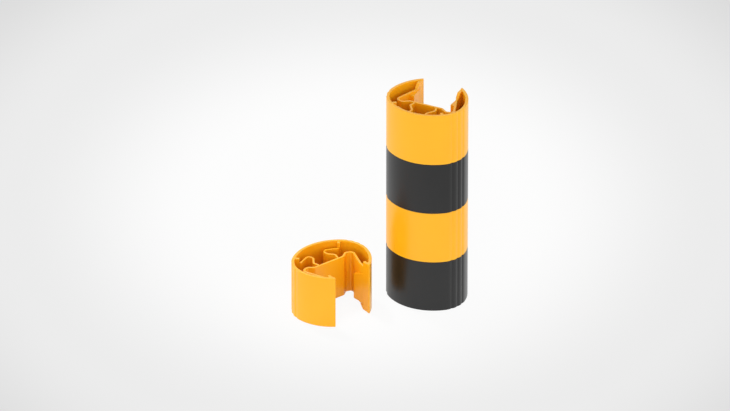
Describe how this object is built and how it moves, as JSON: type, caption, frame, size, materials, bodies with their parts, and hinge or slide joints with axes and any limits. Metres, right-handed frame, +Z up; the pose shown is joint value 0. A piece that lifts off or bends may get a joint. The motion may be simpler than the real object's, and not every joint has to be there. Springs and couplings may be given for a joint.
{
  "type": "rack upright protector",
  "caption": "Column of stacked C-shaped clip-on rings in yellow and black plastic, with sprung inner saddles that clip round a rack upright, and a loose spare ring.",
  "frame": {"origin": "floor level, at the centre of the column's front arc, in the middle of the upright channel", "axes": "+Z up the column, +Y out of the mouth, away from the rounded front; +X to the right seen from the front"},
  "size_m": [0.2714, 0.2553, 0.4],
  "materials": {
    "yellow_plastic": "satin moulded",
    "black_plastic": "satin moulded"
  },
  "bodies": {
    "ring_1": {"ring_1_shell": "black_plastic", "ring_1_left_spring": "black_plastic", "ring_1_right_spring": "black_plastic"},
    "ring_1_saddle": {"ring_1_saddle": "black_plastic"},
    "ring_2": {"ring_2_shell": "yellow_plastic", "ring_2_left_spring": "yellow_plastic", "ring_2_right_spring": "yellow_plastic"},
    "ring_2_saddle": {"ring_2_saddle": "yellow_plastic"},
    "ring_3": {"ring_3_shell": "black_plastic", "ring_3_left_spring": "black_plastic", "ring_3_right_spring": "black_plastic"},
    "ring_3_saddle": {"ring_3_saddle": "black_plastic"},
    "ring_4": {"ring_4_shell": "yellow_plastic", "ring_4_left_spring": "yellow_plastic", "ring_4_right_spring": "yellow_plastic"},
    "ring_4_saddle": {"ring_4_saddle": "yellow_plastic"},
    "spare_ring": {"spare_ring_shell": "yellow_plastic", "spare_ring_left_spring": "yellow_plastic", "spare_ring_right_spring": "yellow_plastic"},
    "spare_ring_saddle": {"spare_ring_saddle": "yellow_plastic"}
  },
  "joints": [
    {"name": "ring_2_lift", "type": "slide", "parent": "ring_1", "child": "ring_2", "axis": [0, 0, 1], "range_m": [0, 0.1]},
    {"name": "ring_3_lift", "type": "slide", "parent": "ring_2", "child": "ring_3", "axis": [0, 0, 1], "range_m": [0, 0.1]},
    {"name": "ring_4_lift", "type": "slide", "parent": "ring_3", "child": "ring_4", "axis": [0, 0, 1], "range_m": [0, 0.1]},
    {"name": "spare_ring_lift", "type": "slide", "parent": "ring_1", "child": "spare_ring", "axis": [0, 0, 1], "range_m": [0, 0.12]},
    {"name": "ring_1_saddle_press", "type": "slide", "parent": "ring_1", "child": "ring_1_saddle", "axis": [0, -1, 0], "range_m": [0, 0.006], "stiffness_N_per_m": 4000, "deforming": ["ring_1_left_spring", "ring_1_right_spring"]},
    {"name": "ring_2_saddle_press", "type": "slide", "parent": "ring_2", "child": "ring_2_saddle", "axis": [0, -1, 0], "range_m": [0, 0.006], "stiffness_N_per_m": 4000, "deforming": ["ring_2_left_spring", "ring_2_right_spring"]},
    {"name": "ring_3_saddle_press", "type": "slide", "parent": "ring_3", "child": "ring_3_saddle", "axis": [0, -1, 0], "range_m": [0, 0.006], "stiffness_N_per_m": 4000, "deforming": ["ring_3_left_spring", "ring_3_right_spring"]},
    {"name": "ring_4_saddle_press", "type": "slide", "parent": "ring_4", "child": "ring_4_saddle", "axis": [0, -1, 0], "range_m": [0, 0.006], "stiffness_N_per_m": 4000, "deforming": ["ring_4_left_spring", "ring_4_right_spring"]},
    {"name": "spare_ring_saddle_press", "type": "slide", "parent": "spare_ring", "child": "spare_ring_saddle", "axis": [-0.9018, 0.4321, 0], "range_m": [0, 0.006], "stiffness_N_per_m": 4000, "deforming": ["spare_ring_left_spring", "spare_ring_right_spring"]}
  ]
}
